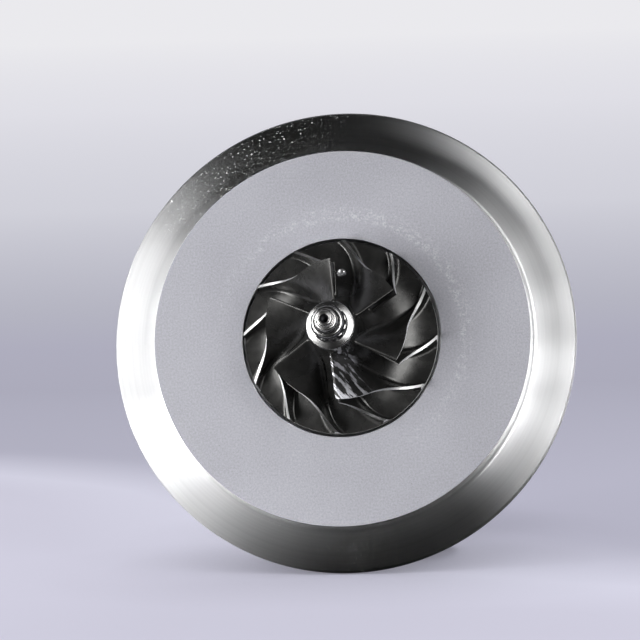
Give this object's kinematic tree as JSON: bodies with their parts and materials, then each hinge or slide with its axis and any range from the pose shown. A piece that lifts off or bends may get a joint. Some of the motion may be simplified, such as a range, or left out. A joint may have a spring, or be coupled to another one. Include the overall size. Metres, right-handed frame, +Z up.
{
  "type": "turbocharger cartridge",
  "caption": "Turbocharger centre section: a compressor and a turbine wheel on one shaft in floating bushes, inside a housing with a round compressor backplate.",
  "frame": {"origin": "on the rotor's axis, in the plane of the backplate's raised diffuser face", "axes": "-Y points to the compressor side, +Y to the turbine side, +Z up to the oil inlet, -Z down to the oil drain"},
  "size_m": [0.118, 0.1285, 0.118],
  "materials": {
    "diffuser_aluminium": "turned rim, fine blasted face",
    "wheel_aluminium": "cast, with turned blade edges",
    "polished_steel": "polished",
    "ground_steel": "ground",
    "turbine_alloy": "cast nickel alloy",
    "housing_iron": "sand cast, machined faces",
    "bearing_bronze": "turned bronze",
    "zinc_steel": "zinc plated",
    "shield_steel": "pressed stainless sheet",
    "seal_rubber": "matte"
  },
  "bodies": {
    "housing": {"compressor_seal_ring": "ground_steel", "turbine_seal_ring": "ground_steel", "backplate": "diffuser_aluminium", "backplate_bolts": "zinc_steel", "backplate_washers": "zinc_steel", "housing_oring": "seal_rubber", "thrust_bearing": "bearing_bronze", "thrust_pins": "ground_steel", "oil_deflector": "shield_steel", "bearing_circlips": "ground_steel", "bearing_housing": "housing_iron", "heat_shield": "shield_steel"},
    "rotor": {"compressor_wheel": "wheel_aluminium", "compressor_nut": "polished_steel", "rotor_shaft": "polished_steel", "turbine_wheel": "turbine_alloy", "thrust_collar": "ground_steel", "oil_flinger": "ground_steel"},
    "front_bearing": {"front_journal_bearing": "bearing_bronze"},
    "rear_bearing": {"rear_journal_bearing": "bearing_bronze"}
  },
  "joints": [
    {"name": "rotor_spin", "type": "hinge", "parent": "housing", "child": "rotor", "pos_m": [0, 0, 0], "axis": [0, 1, 0], "continuous": true},
    {"name": "front_bearing_spin", "type": "hinge", "parent": "housing", "child": "front_bearing", "pos_m": [0, 0.027, 0], "axis": [0, 1, 0], "continuous": true},
    {"name": "rear_bearing_spin", "type": "hinge", "parent": "housing", "child": "rear_bearing", "pos_m": [0, 0.047, 0], "axis": [0, 1, 0], "continuous": true}
  ]
}
